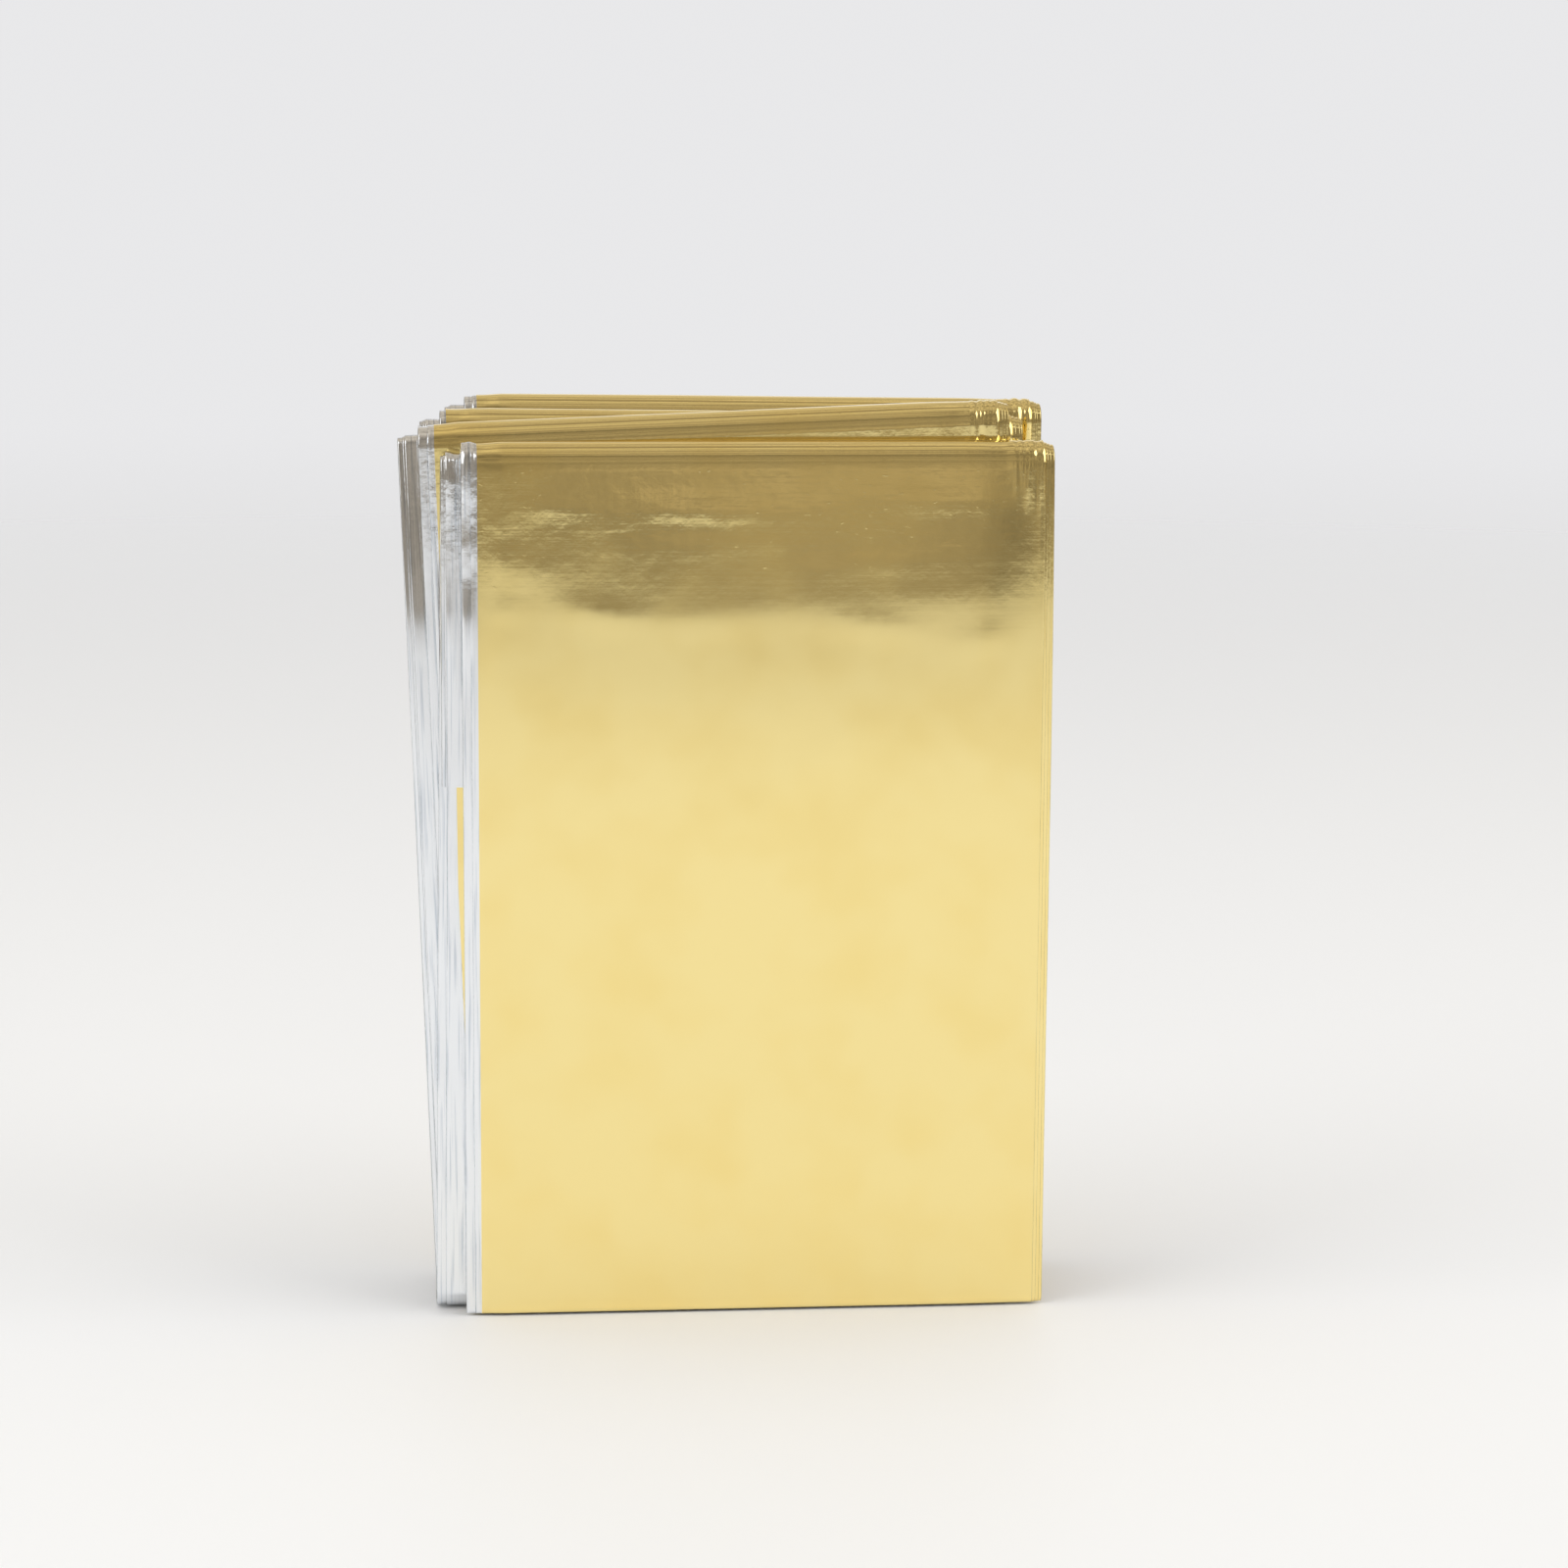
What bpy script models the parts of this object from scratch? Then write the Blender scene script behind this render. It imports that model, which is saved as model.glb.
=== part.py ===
"""A folded emergency foil blanket, standing on its folded end.

The real sheet is 1.6 m by 2.1 m of thin metallised film. It is folded to and fro across its width into a
narrow strip of 18 films, the strip is doubled over, and the doubled strip is folded to and fro along its
length into eight upright runs. The outer half of the doubled strip starts at the front foot. Both halves turn
into each other at the rear foot, and the inner half ends a little below the front ridge. The solid is that
strip: one back-and-forth section of its sixteen layers, a little apart. The fine films inside each layer are
thinner than a solid can show.

Axes: +Z up, the front faces -Y, +X is to the right as seen from the front. Lengths are in metres.
The origin is the middle of the footprint, on the surface that the blanket stands on.
"""

import math
from collections import namedtuple

import bmesh
import bpy

MM = 0.001

# The cut sheet and how often it is folded. The last of its sixteen layers is a short end.
SHEET_WIDTH = 1600 * MM
SHEET_LENGTH = 2100 * MM
FILMS_ACROSS = 18
LAYERS_DEEP = 16
SHORT_END = 51 * MM
STRIP_WIDTH = SHEET_WIDTH / FILMS_ACROSS
RUN_LENGTH = (SHEET_LENGTH - SHORT_END) / (LAYERS_DEEP - 1)

# One layer of the solid is the strip of 18 films, with some air on each side of it
LAYER_PITCH = 1.625 * MM
LAYER_THICKNESS = 1.2 * MM
HALF_THICKNESS = LAYER_THICKNESS / 2

# The strip is doubled over a little askew, so the inner half stands out to the left of the outer half
INNER_HALF_SHIFT = -3.1 * MM

# A wide turn goes round the other half of the doubled strip, and a tight turn lies inside it
WIDE_TURN = 1.5 * LAYER_PITCH
TIGHT_TURN = 0.5 * LAYER_PITCH

# How finely the strip is divided. An odd number of parts round a turn gives each foot a flat underside.
PARTS_ACROSS = 8
PARTS_UP_A_RUN = 7
PARTS_ROUND_A_TURN = 7
FLAT_OF_A_TURN = math.cos(math.pi / (2 * PARTS_ROUND_A_TURN))

# Heights of the lines that the turns go round: every foot then rests flat on the surface
FOOT_LINE = WIDE_TURN * FLAT_OF_A_TURN + HALF_THICKNESS
DOUBLING_LINE = TIGHT_TURN * FLAT_OF_A_TURN + HALF_THICKNESS
RIDGE_LINE = FOOT_LINE + RUN_LENGTH - math.pi / 2 * (WIDE_TURN + TIGHT_TURN)
SHORT_END_SHARE = 1 - SHORT_END / RIDGE_LINE

# The folds along the top, from the front one to the rear one, in millimetres: how far each leans to the side
# and to the rear at its top, and how far its left and right ends rise above or stay below the even height.
RIDGES = (
    {"name": "front", "side": 0.0, "rear": -0.5, "left_rise": -3.6, "right_rise": -3.4},
    {"name": "second", "side": -6.1, "rear": -0.1, "left_rise": -1.2, "right_rise": 2.1},
    {"name": "third", "side": -3.9, "rear": 0.4, "left_rise": 0.5, "right_rise": 1.7},
    {"name": "rear", "side": -0.8, "rear": 0.9, "left_rise": 2.3, "right_rise": 1.1},
)
# The foot of each run or pair of runs, with how far it is moved to the side
FEET = (
    {"name": "front end", "side": 0.0},
    {"name": "first fold", "side": -1.3},
    {"name": "middle fold", "side": -1.0},
    {"name": "last fold", "side": -0.5},
    {"name": "doubling turn", "side": 0.3},
)

# The front and back swell out a little at half height, less towards the sides
SWELL = 0.9 * MM
SWELL_SPAN = 1.3

GOLD = (0.86, 0.66, 0.27, 1.0)
FOIL_ROUGHNESS = 0.18
SHARP_ANGLE = 40

# A station is a line across the strip. It belongs to one ridge and one foot, and is given by the share of the
# way from that foot up to that ridge, its depth, and its height above or below the line of a turn. It lies in
# the outer or the inner half of the doubled strip, or in the turn that joins the two halves.
Station = namedtuple("Station", ("ridge", "foot", "share", "depth", "rise", "half"))


def clear_scene():
    for old in list(bpy.data.objects):
        bpy.data.objects.remove(old)


def blend(low, high, share):
    return low + (high - low) * share


def pair_middle(pair):
    """Depth of the plane between the two runs that hang from one ridge."""
    return (4 * pair + 2) * LAYER_PITCH


def run_stations(run, half, upwards):
    """Stations along one upright run."""
    pair = run // 2
    from_middle = WIDE_TURN if half == "outer" else TIGHT_TURN
    side = 1 if run % 2 else -1
    depth = pair_middle(pair) + side * from_middle
    foot = (run + 1) // 2
    lowest = SHORT_END_SHARE if half == "inner" and run == 0 else 0.0
    shares = [blend(lowest, 1.0, step / PARTS_UP_A_RUN) for step in range(PARTS_UP_A_RUN + 1)]
    if not upwards:
        shares.reverse()
    return [Station(pair, foot, share, depth, 0.0, half) for share in shares]


def turn_stations(pair, foot, middle, radius, start_angle, end_angle, share, half):
    """Stations round a turn, without its two ends, which belong to the runs."""
    found = []
    for step in range(1, PARTS_ROUND_A_TURN):
        angle = start_angle + (end_angle - start_angle) * step / PARTS_ROUND_A_TURN
        depth = middle + radius * math.cos(angle)
        found.append(Station(pair, foot, share, depth, radius * math.sin(angle), half))
    return found


def half_route(half):
    """The way of one half of the doubled strip, from its front end to the rear foot."""
    found = []
    runs = 2 * len(RIDGES)
    for run in range(runs):
        upwards = run % 2 == 0
        found += run_stations(run, half, upwards)
        if upwards:
            pair = run // 2
            radius = WIDE_TURN if half == "outer" else TIGHT_TURN
            found += turn_stations(pair, pair, pair_middle(pair), radius, math.pi, 0, 1.0, half)
        elif run < runs - 1:
            foot = (run + 1) // 2
            radius = TIGHT_TURN if half == "outer" else WIDE_TURN
            middle = 4 * foot * LAYER_PITCH
            found += turn_stations(run // 2, foot, middle, radius, math.pi, 2 * math.pi, 0.0, half)
    return found


def strip_route():
    """The whole way of the strip: from the front foot to the rear foot, and back to the front ridge."""
    last_ridge, last_foot = len(RIDGES) - 1, len(FEET) - 1
    middle = pair_middle(last_ridge) + (WIDE_TURN + TIGHT_TURN) / 2
    doubling = turn_stations(last_ridge, last_foot, middle, TIGHT_TURN, 0, -math.pi, 0.0, "doubling")
    return half_route("outer") + doubling + list(reversed(half_route("inner")))


def foot_height(foot):
    """Height of the line that a foot turns about. The front foot is a cut end, without a turn."""
    if foot == 0:
        return 0.0
    if foot == len(FEET) - 1:
        return DOUBLING_LINE
    return FOOT_LINE


def place(across, station, doubling_share):
    """The place of a point of the strip: across runs from -0.5 at the left to 0.5 at the right."""
    ridge = RIDGES[station.ridge]
    ridge_rise = blend(ridge["left_rise"], ridge["right_rise"], across + 0.5) * MM
    height = blend(foot_height(station.foot), RIDGE_LINE + ridge_rise, station.share) + station.rise
    askew = {"outer": 0.0, "inner": 1.0, "doubling": doubling_share}[station.half]
    sideways = blend(FEET[station.foot]["side"], ridge["side"], station.share) * MM
    lean = ridge["rear"] * MM * station.share**2
    from_middle = 2 * station.depth / (LAYERS_DEEP * LAYER_PITCH) - 1
    upright_bow = math.sin(math.pi * station.share) * math.cos(math.pi * across / SWELL_SPAN)
    return (
        across * STRIP_WIDTH + sideways + askew * INNER_HALF_SHIFT,
        station.depth + lean + SWELL * from_middle * upright_bow,
        height,
    )


def stand_on_origin(mesh):
    """Moves the mesh so that the middle of its footprint is the origin."""
    places = [vertex.co for vertex in mesh.vertices]
    middle_x = (min(p.x for p in places) + max(p.x for p in places)) / 2
    middle_y = (min(p.y for p in places) + max(p.y for p in places)) / 2
    lowest = min(p.z for p in places)
    for vertex in mesh.vertices:
        vertex.co.x -= middle_x
        vertex.co.y -= middle_y
        vertex.co.z -= lowest


def foil_material():
    material = bpy.data.materials.new("gold_foil")
    material.use_nodes = True
    shader = material.node_tree.nodes["Principled BSDF"]
    shader.inputs["Base Color"].default_value = GOLD
    shader.inputs["Metallic"].default_value = 1.0
    shader.inputs["Roughness"].default_value = FOIL_ROUGHNESS
    return material


def folded_foil(collection):
    """The strip is laid out as a flat grid, folded along its route, and given its thickness."""
    route = strip_route()
    rows = len(route) - 1
    turning = [row for row, station in enumerate(route) if station.half == "doubling"]
    sheet = bmesh.new()
    bmesh.ops.create_grid(sheet, x_segments=PARTS_ACROSS, y_segments=rows, size=0.5)
    for vertex in sheet.verts:
        across = vertex.co.x
        row = round((vertex.co.y + 0.5) * rows)
        doubling_share = (row - turning[0] + 1) / (len(turning) + 1)
        vertex.co = place(across, route[row], doubling_share)
    mesh = bpy.data.meshes.new("folded_foil_sheet")
    sheet.to_mesh(mesh)
    sheet.free()
    foil = bpy.data.objects.new("folded_foil_sheet", mesh)
    collection.objects.link(foil)
    thickness = foil.modifiers.new("layer_thickness", "SOLIDIFY")
    thickness.thickness = LAYER_THICKNESS
    thickness.offset = 0.0
    thickness.use_even_offset = True
    bpy.context.view_layer.update()
    solid = bpy.data.meshes.new_from_object(foil.evaluated_get(bpy.context.evaluated_depsgraph_get()))
    foil.modifiers.clear()
    foil.data = solid
    foil.data.name = "folded_foil_sheet"
    stand_on_origin(foil.data)
    foil.data.shade_smooth()
    foil.data.set_sharp_from_angle(angle=math.radians(SHARP_ANGLE))
    foil.data.materials.append(foil_material())
    return foil


def build():
    clear_scene()
    collection = bpy.data.collections.new("emergency_foil_blanket")
    bpy.context.scene.collection.children.link(collection)
    folded_foil(collection)


build()
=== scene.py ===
# %% [markdown]
# # A folded emergency foil blanket
# The real thing is one sheet of very thin film, 1.6 m by 2.1 m, gold on one side and silver on the other. It
# is folded to and fro into a narrow strip, the strip is doubled over, and the doubled strip is folded to and
# fro again into an upright packet. This lesson folds such a sheet in mesh code and finishes its two sides.
# The first cell loads the solid that the sheet is built around, and notes the box that it fills.

# %% Load the solid
import math
from collections import namedtuple

import bmesh
import bpy
from mathutils import Matrix, Vector, noise


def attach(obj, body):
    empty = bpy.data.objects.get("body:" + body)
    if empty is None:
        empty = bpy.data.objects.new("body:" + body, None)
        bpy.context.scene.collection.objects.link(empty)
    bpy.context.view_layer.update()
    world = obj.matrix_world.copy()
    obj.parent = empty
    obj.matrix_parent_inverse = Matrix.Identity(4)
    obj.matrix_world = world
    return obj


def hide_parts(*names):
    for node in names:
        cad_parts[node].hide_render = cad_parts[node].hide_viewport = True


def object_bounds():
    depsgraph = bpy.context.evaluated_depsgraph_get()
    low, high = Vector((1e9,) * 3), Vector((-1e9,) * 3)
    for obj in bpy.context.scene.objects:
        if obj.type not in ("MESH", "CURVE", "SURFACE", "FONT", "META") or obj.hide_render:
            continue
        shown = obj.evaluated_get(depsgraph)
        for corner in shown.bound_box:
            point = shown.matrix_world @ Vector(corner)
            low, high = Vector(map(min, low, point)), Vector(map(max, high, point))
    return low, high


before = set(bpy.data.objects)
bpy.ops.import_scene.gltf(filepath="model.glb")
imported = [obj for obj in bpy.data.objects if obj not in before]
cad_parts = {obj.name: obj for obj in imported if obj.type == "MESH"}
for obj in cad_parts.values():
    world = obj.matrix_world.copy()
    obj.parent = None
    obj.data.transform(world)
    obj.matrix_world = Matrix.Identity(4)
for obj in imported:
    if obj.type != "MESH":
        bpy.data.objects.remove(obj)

solid_low, solid_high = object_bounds()
MM = 0.001
NODE = "folded_foil_sheet"
print("solid size in mm:", [round(side / MM, 1) for side in solid_high - solid_low])

# %% [markdown]
# ## The size of the sheet and of its folds
# A factory folds the full width into 18 films, which gives a strip nearly 89 mm wide. The outermost film ends
# a little short of the left edge, so that a margin of the silver side shows there. The sizes are named here
# once, and every later cell works from them.

# %% Sizes of the sheet and its folds
SHEET_WIDTH = 1600 * MM
SHEET_LENGTH = 2100 * MM
FILMS = 18
FIRST_FILM_SHORT_BY = 2.6 * MM
LAST_FILM_SHORT_BY = 4.2 * MM
FILM_WIDTH = (SHEET_WIDTH + FIRST_FILM_SHORT_BY + LAST_FILM_SHORT_BY) / FILMS
SHORT_END = 51 * MM
RUNS_OF_A_HALF = 8
RUN_LENGTH = (SHEET_LENGTH - SHORT_END) / (2 * RUNS_OF_A_HALF - 1)

LAYER_PITCH = 1.625 * MM
FILM_PITCH = 0.088 * MM
FILM_THICKNESS = 0.02 * MM
HALF_OF_THE_FILMS = (FILMS - 1) / 2 * FILM_PITCH
WIDE_TURN = 1.5 * LAYER_PITCH
TIGHT_TURN = 0.5 * LAYER_PITCH
INNER_HALF_SHIFT = -3.1 * MM

FOOT_LINE = WIDE_TURN + HALF_OF_THE_FILMS + FILM_THICKNESS
DOUBLING_LINE = TIGHT_TURN + HALF_OF_THE_FILMS + FILM_THICKNESS
print(f"strip {FILM_WIDTH / MM:.1f} mm wide, runs {RUN_LENGTH / MM:.1f} mm long")

# %% [markdown]
# ## Where the folds stand
# The runs hang from four folds along the top, and none of them is level or square above its foot. This table
# says, in millimetres, how far each fold leans to the side and to the rear, and how high its left and right
# ends stand. A table with named columns is easier to correct against a picture than numbers inside formulas.

# %% Tables of the ridges and feet
RIDGES = (
    {"name": "front", "side": 0.0, "rear": -0.1, "left_crest": 133.5, "right_crest": 133.6},
    {"name": "second", "side": -6.1, "rear": 0.0, "left_crest": 135.6, "right_crest": 139.2},
    {"name": "third", "side": -2.9, "rear": 0.4, "left_crest": 137.5, "right_crest": 136.4},
    {"name": "rear", "side": 1.0, "rear": 0.9, "left_crest": 139.1, "right_crest": 138.1},
)
FEET = (
    {"name": "front end", "side": 0.0},
    {"name": "first fold", "side": -1.3},
    {"name": "middle fold", "side": -1.0},
    {"name": "last fold", "side": -0.5},
    {"name": "doubling turn", "side": 0.3},
)
RIDGE_FLATNESS = 0.92
CREST_ABOVE_LINE = RIDGE_FLATNESS * (WIDE_TURN + HALF_OF_THE_FILMS)
STRIP_MIDDLE = solid_high.x - FEET[-1]["side"] * MM - FILM_WIDTH / 2
print(f"middle of the strip at x = {STRIP_MIDDLE / MM:.2f} mm")

# %% [markdown]
# ## The way of the strip through the packet
# Seen from the side, the doubled strip runs up and down eight times. A station is one line across the strip:
# it belongs to a ridge and a foot, it has a share of the height between them, a depth and a rise, and it
# knows which way the gold side looks. Turns are half circles, wide outside and tight inside.

# %% Stations along one run and round one turn
Station = namedtuple("Station", ("ridge", "foot", "run", "share", "depth", "rise", "half", "gold_side"))
OUTWARDS = {"outer": 1, "inner": -1, "doubling": 1}


def blend(low, high, share):
    return low + (high - low) * share


def pair_middle(pair):
    return (4 * pair + 2) * LAYER_PITCH


def run_stations(run, half, shares):
    pair = run // 2
    from_middle = WIDE_TURN if half == "outer" else TIGHT_TURN
    upwards = run % 2 == 0
    side = -1 if upwards else 1
    depth = pair_middle(pair) + side * from_middle
    foot = (run + 1) // 2
    facing = (side * OUTWARDS[half], 0.0)
    ordered = shares if upwards else tuple(reversed(shares))
    return [Station(pair, foot, run, share, depth, 0.0, half, facing) for share in ordered]


def turn_stations(ends, run, middle, radius, angles, share, half, gold_out, parts):
    found = []
    for step in range(1, parts):
        angle = blend(angles[0], angles[1], step / parts)
        flatness = RIDGE_FLATNESS if share == 1.0 else 1.0
        facing = (gold_out * math.cos(angle), flatness * gold_out * math.sin(angle))
        depth = middle + radius * math.cos(angle)
        found.append(Station(*ends, run, share, depth, flatness * radius * math.sin(angle), half, facing))
    return found


# %% [markdown]
# ## How finely each stretch is divided
# The front face and the top folds are seen from close by, so their rows lie close together, and the curled
# end at the front foot has a few rows of its own. The inner runs only show their edges, so few rows do. A
# film has many columns only where it is the outermost one.

# %% Rows of the grid
ROWS = {"front": 74, "back": 14, "inner": 4, "short": 16}
TURN_PARTS = {"outer_ridge": 11, "inner_ridge": 4, "outer_foot": 3, "inner_foot": 6, "doubling": 5}
OUTER_SHARES = (0.0, 0.25, 0.5, 0.75, 0.9, 0.955, 0.98, 0.996, 1.0)
FINE_FROM = 0.55
COARSE_PART = 0.36
ROWS_OF_THE_CURL = (0.0, 0.0024, 0.0050, 0.0086)


def front_shares():
    """Shares up the front run, closer together in its crumpled upper part."""
    coarse_rows = round(ROWS["front"] * COARSE_PART)
    fine_rows = ROWS["front"] - coarse_rows
    coarse = [FINE_FROM * step / coarse_rows for step in range(1, coarse_rows)]
    fine = [blend(FINE_FROM, 1.0, step / fine_rows) for step in range(fine_rows + 1)]
    return (*ROWS_OF_THE_CURL, *coarse, *fine)


def even_shares(rows, lowest=0.0):
    return tuple(blend(lowest, 1.0, step / rows) for step in range(rows + 1))


def shares_of(run, half):
    if half == "inner" and run == 0:
        return even_shares(ROWS["short"], 1 - SHORT_END / RUN_LENGTH)
    if half == "inner":
        return even_shares(ROWS["inner"])
    if run == 0:
        return front_shares()
    return even_shares(ROWS["back"]) if run == RUNS_OF_A_HALF - 1 else OUTER_SHARES


def half_route(half):
    """The way of one half of the doubled strip, from its front end to the rear foot."""
    found = []
    wide, tight = (WIDE_TURN, TIGHT_TURN) if half == "outer" else (TIGHT_TURN, WIDE_TURN)
    for run in range(RUNS_OF_A_HALF):
        found += run_stations(run, half, shares_of(run, half))
        pair, foot = run // 2, (run + 1) // 2
        if run % 2 == 0:
            found += turn_stations((pair, pair), run, pair_middle(pair), wide, (math.pi, 0), 1.0, half,
                                   OUTWARDS[half], TURN_PARTS[half + "_ridge"])
        elif run < RUNS_OF_A_HALF - 1:
            middle = 4 * foot * LAYER_PITCH
            found += turn_stations((pair, foot), run, middle, tight, (math.pi, 2 * math.pi), 0.0, half,
                                   -OUTWARDS[half], TURN_PARTS[half + "_foot"])
    return found


def sheet_route():
    last = RUNS_OF_A_HALF - 1
    middle = pair_middle(last // 2) + (WIDE_TURN + TIGHT_TURN) / 2
    doubling = turn_stations((last // 2, last // 2 + 1), last, middle, TIGHT_TURN, (0, -math.pi), 0.0,
                             "doubling", 1, TURN_PARTS["doubling"])
    return half_route("outer") + doubling + list(reversed(half_route("inner")))


ROUTE = sheet_route()
DOUBLING_ROWS = [row for row, station in enumerate(ROUTE) if station.half == "doubling"]
print(f"{len(ROUTE)} stations along the strip")


# %% [markdown]
# ## The films across the strip
# Across the strip the sheet goes to and fro 18 times. A column of the grid is given by a number from 0 to 18:
# its whole part is the film, and the rest is the way across it. Each sharp fold gets one column on the fold
# itself and one close to each side of it.

# %% Columns of the grid
FOLD_EASE = 0.15 * MM
EDGE_STRIP = 6 * MM
# The outermost film is divided in stretches, each with its end and the distance of its columns in millimetres
FIRST_FILM_STRETCHES = ((4.0, 0.8), (79.0, 3.0), (88.4, 0.3))
# These films show their silver side at the left, so they have columns there, in millimetres from the fold
MARGIN_FILMS = (1, 3, 16)
MARGIN_COLUMNS = (0.6, 1.3, 2.2, 3.6)


def film_columns(film):
    """Ways across one film, from 0 to 1, without its far fold."""
    ease, edge = FOLD_EASE / FILM_WIDTH, EDGE_STRIP / FILM_WIDTH
    if film == 0:
        ways, here = [0.0], 0.0
        for end, step in FIRST_FILM_STRETCHES:
            count = round((end - here) / step)
            ways += [blend(here, end, (part + 1) / count) * MM / FILM_WIDTH for part in range(count)]
            here = end
        return ways + [1 - ease]
    ways = {0.0, ease, edge, 0.5, 1 - edge, 1 - ease}
    if film in MARGIN_FILMS:
        from_left = [distance * MM / FILM_WIDTH for distance in MARGIN_COLUMNS]
        ways |= set(from_left if film % 2 == 0 else [1 - way for way in from_left])
    return sorted(ways)


COLUMNS = [film + way for film in range(FILMS) for way in film_columns(film)] + [FILMS]
print(f"{len(COLUMNS)} columns across the sheet, {(len(COLUMNS) - 1) * (len(ROUTE) - 1)} quads in all")


# %% [markdown]
# ## How the folds wander
# Folds made in bulk never lie exactly above each other. The steps that they make run down both edges as fine
# upright lines. The steps stand in a table, in millimetres inside the widest fold. On top of that every fold
# drifts slowly along the strip, and the cut edge of the outermost film follows a table of its own. The noise
# function gives the same value for the same place each time, so the sheet comes out alike on each run.

# %% Wandering folds
STEPS_AT_THE_LEFT = (0.0, 1.35, 0.0, 0.75, 0.35, 1.0, 0.1, 0.6, 0.9)
STEPS_AT_THE_RIGHT = (1.55, 0.95, 0.45, 0.0, 1.2, 0.7, 1.9, 0.3, 1.1)
DRIFT = 0.22 * MM
DRIFT_LENGTH = 0.11
# Each fold reads the noise this far from the one before it, so that each drifts on its own
FOLD_APART, DRIFT_SEED = 7.31, 3.7
# The cut edge of the outermost film: the number of runs from the front foot, and how far inside it is, in mm
CUT_EDGE = ((0, 2.6), (1, 2.6), (3, 2.5), (5, 1.2), (7, 2.1), (13, 2.5), (14, 5.2), (14.3, 4.7), (14.6, 2.6),
            (16, 2.6))


def cut_edge(along):
    """How far the first film's cut edge lies inside the strip's edge."""
    runs = along / RUN_LENGTH
    for (before, low), (after, high) in zip(CUT_EDGE[:-1], CUT_EDGE[1:]):
        if runs <= after:
            return blend(low, high, (runs - before) / (after - before)) * MM
    return CUT_EDGE[-1][1] * MM


def fold_wander(fold, along):
    """How far a fold lies inside the strip's edge. Odd folds are at the right, even ones at the left."""
    if fold == 0:
        return cut_edge(along)
    if fold == FILMS:
        return LAST_FILM_SHORT_BY
    drift = 1 + noise.noise(Vector((fold * FOLD_APART, along / DRIFT_LENGTH, DRIFT_SEED)))
    steps = STEPS_AT_THE_RIGHT if fold % 2 else STEPS_AT_THE_LEFT
    return steps[fold // 2] * MM + DRIFT * drift


def film_place(column, along):
    """Where a column lies across the strip (from its left edge) and how many films deep it is."""
    film = min(int(column), FILMS - 1)
    way = column - film
    left_fold, right_fold = (film, film + 1) if film % 2 == 0 else (film + 1, film)
    left = fold_wander(left_fold, along)
    right = FILM_WIDTH - fold_wander(right_fold, along)
    side = way if film % 2 == 0 else 1 - way
    on_the_fold = column == film and film > 0
    return blend(left, right, side), film - 0.5 if on_the_fold else film


# %% [markdown]
# ## Main creases of the front
# The front is not flat: soft creases and bends give the film its lively reflections. Each row of the table is
# one soft crease, with its middle on the front face, its half length and half width, its turn from level and
# its height, all in millimetres and degrees. A crease a twentieth of a millimetre high already shows, because
# a mirror doubles every slope.

# %% Table of creases
CREASES = (
    {"name": "left spot", "x": 7.0, "z": 108.9, "long": 2.4, "wide": 1.5, "turn": 10, "height": 0.042},
    {"name": "upper left spot", "x": 5.0, "z": 117.2, "long": 2.0, "wide": 0.9, "turn": 0, "height": 0.030},
    {"name": "left bend", "x": 7.5, "z": 115.4, "long": 6.0, "wide": 3.0, "turn": -16, "height": 0.055},
    {"name": "middle dent", "x": 17.6, "z": 109.0, "long": 2.6, "wide": 2.0, "turn": -25, "height": 0.060},
    {"name": "broad dent", "x": 22.5, "z": 107.6, "long": 3.4, "wide": 1.9, "turn": -8, "height": 0.062},
    {"name": "long sag", "x": 36.0, "z": 107.2, "long": 12.0, "wide": 2.6, "turn": 2, "height": 0.045},
    {"name": "fine dent", "x": 19.6, "z": 104.6, "long": 1.8, "wide": 0.7, "turn": 25, "height": 0.020},
    {"name": "small dent", "x": 26.0, "z": 104.0, "long": 1.6, "wide": 0.8, "turn": -40, "height": 0.024},
    {"name": "short dent", "x": 23.5, "z": 102.2, "long": 1.4, "wide": 0.6, "turn": -50, "height": 0.014},
    {"name": "slanting line", "x": 10.7, "z": 97.6, "long": 3.5, "wide": 0.8, "turn": -35, "height": 0.013},
    {"name": "second line", "x": 15.0, "z": 94.0, "long": 4.5, "wide": 0.9, "turn": 28, "height": 0.011},
    {"name": "upper bend", "x": 57.0, "z": 110.2, "long": 32.0, "wide": 5.0, "turn": 0, "height": 0.050},
    {"name": "left streak", "x": 4.8, "z": 121.6, "long": 3.5, "wide": 1.3, "turn": 3, "height": 0.050},
    {"name": "first streak", "x": 14.0, "z": 124.4, "long": 7.0, "wide": 1.3, "turn": -2, "height": 0.066},
    {"name": "second streak", "x": 22.0, "z": 121.6, "long": 3.0, "wide": 1.2, "turn": 3, "height": 0.050},
    {"name": "long streak", "x": 36.0, "z": 123.6, "long": 11.0, "wide": 1.5, "turn": -3, "height": 0.100},
    {"name": "middle streak", "x": 40.0, "z": 118.5, "long": 12.0, "wide": 1.4, "turn": 2, "height": 0.030},
    {"name": "right streak", "x": 66.0, "z": 116.0, "long": 13.0, "wide": 1.6, "turn": 4, "height": 0.050},
    {"name": "right dent", "x": 62.0, "z": 106.0, "long": 7.0, "wide": 1.8, "turn": -9, "height": 0.050},
    {"name": "far right dent", "x": 79.0, "z": 104.0, "long": 5.0, "wide": 2.2, "turn": 12, "height": 0.050},
    {"name": "high streak", "x": 72.0, "z": 125.0, "long": 9.0, "wide": 1.4, "turn": -3, "height": 0.075},
    {"name": "lower slant", "x": 52.0, "z": 84.0, "long": 14.0, "wide": 3.0, "turn": 38, "height": 0.022},
    {"name": "low crease", "x": 30.0, "z": 38.0, "long": 16.0, "wide": 3.5, "turn": -30, "height": 0.024},
)


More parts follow.
